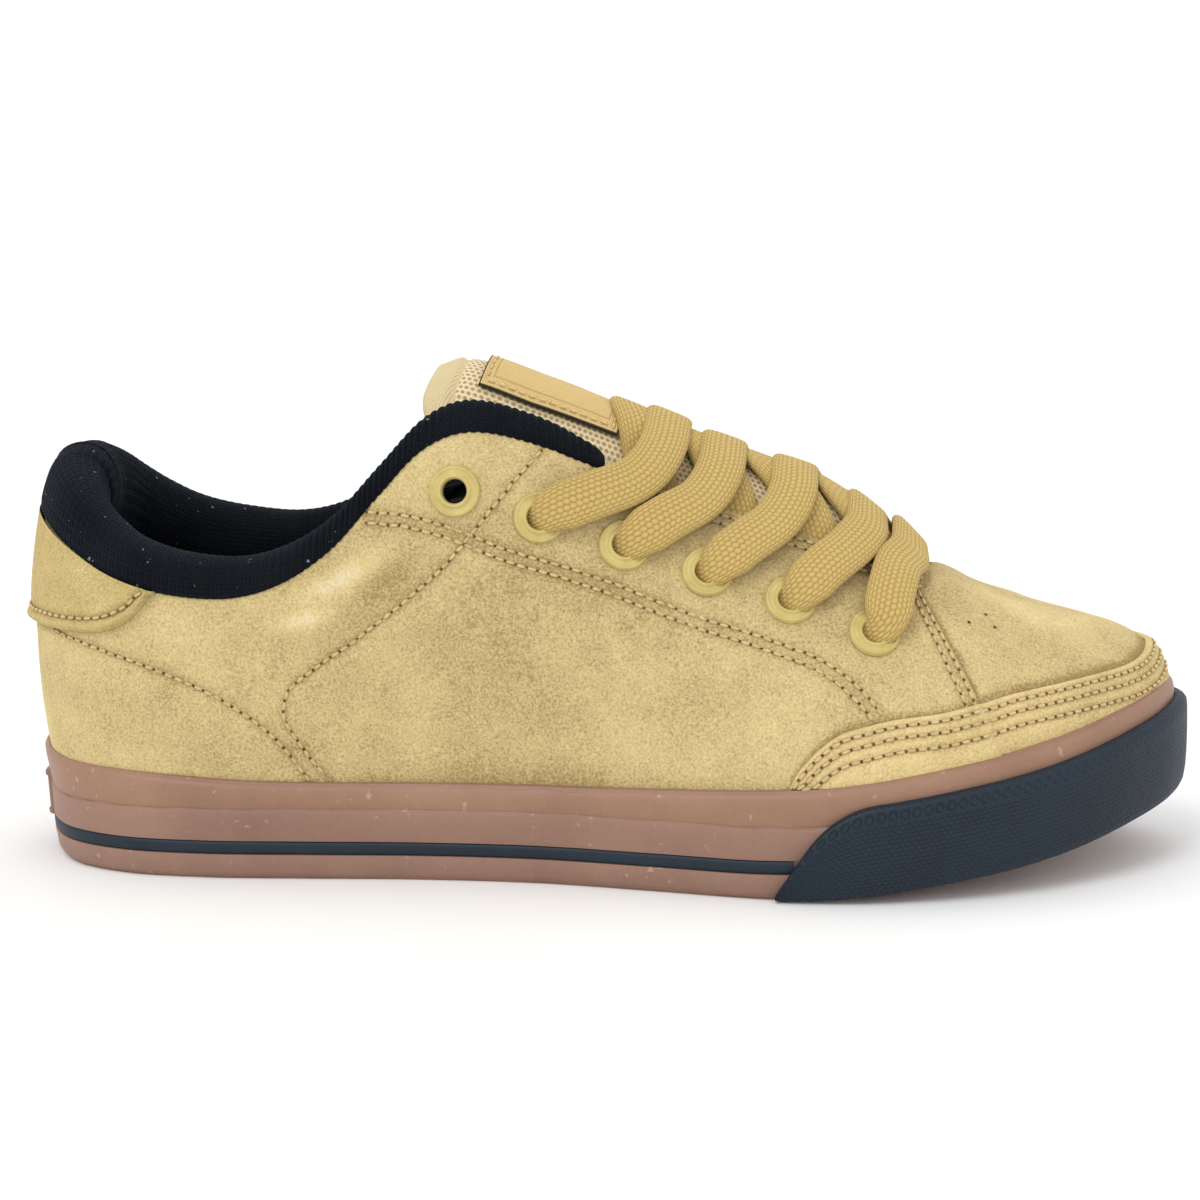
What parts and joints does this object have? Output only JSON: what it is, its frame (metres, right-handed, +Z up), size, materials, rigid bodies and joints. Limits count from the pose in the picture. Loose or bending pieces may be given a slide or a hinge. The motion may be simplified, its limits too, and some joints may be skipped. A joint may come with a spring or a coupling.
{
  "type": "skateboarding shoe",
  "caption": "Low suede skateboarding shoe on a gum rubber cup sole, with a dark toe guard, padded knit collar and tongue, and flat laces.",
  "frame": {"origin": "on the floor under the middle of the shoe's bounding box", "axes": "+X from the heel to the toe, +Z up, and the outer side of the foot at -Y"},
  "size_m": [0.2962, 0.1112, 0.1252],
  "materials": {
    "gum_rubber": "satin",
    "dark_rubber": "satin",
    "bumper_rubber": "matte, finely ribbed",
    "badge_rubber": "satin",
    "sock_liner": "matte",
    "suede": "napped suede",
    "knit": "matte ribbed knit",
    "spacer_mesh": "honeycomb mesh",
    "woven_label": "woven",
    "woven_lace": "woven",
    "eyelet_rubber": "satin"
  },
  "bodies": {
    "root": {"cupsole": "gum_rubber", "stripe": "dark_rubber", "toe_bumper": "bumper_rubber", "heel_badge": "badge_rubber", "insole": "sock_liner", "upper": "suede", "mudguard": "suede", "heel_tab": "suede", "collar": "knit", "tongue": "spacer_mesh", "tongue_label": "woven_label", "lace_bar": "woven_lace", "lace_crossings": "woven_lace", "eyelet_near_1": "eyelet_rubber", "eyelet_near_2": "eyelet_rubber", "eyelet_near_3": "eyelet_rubber", "eyelet_near_4": "eyelet_rubber", "eyelet_near_5": "eyelet_rubber", "eyelet_near_6": "eyelet_rubber", "eyelet_far_1": "eyelet_rubber", "eyelet_far_2": "eyelet_rubber", "eyelet_far_3": "eyelet_rubber", "eyelet_far_4": "eyelet_rubber", "eyelet_far_5": "eyelet_rubber", "eyelet_far_6": "eyelet_rubber"}
  },
  "joints": []
}
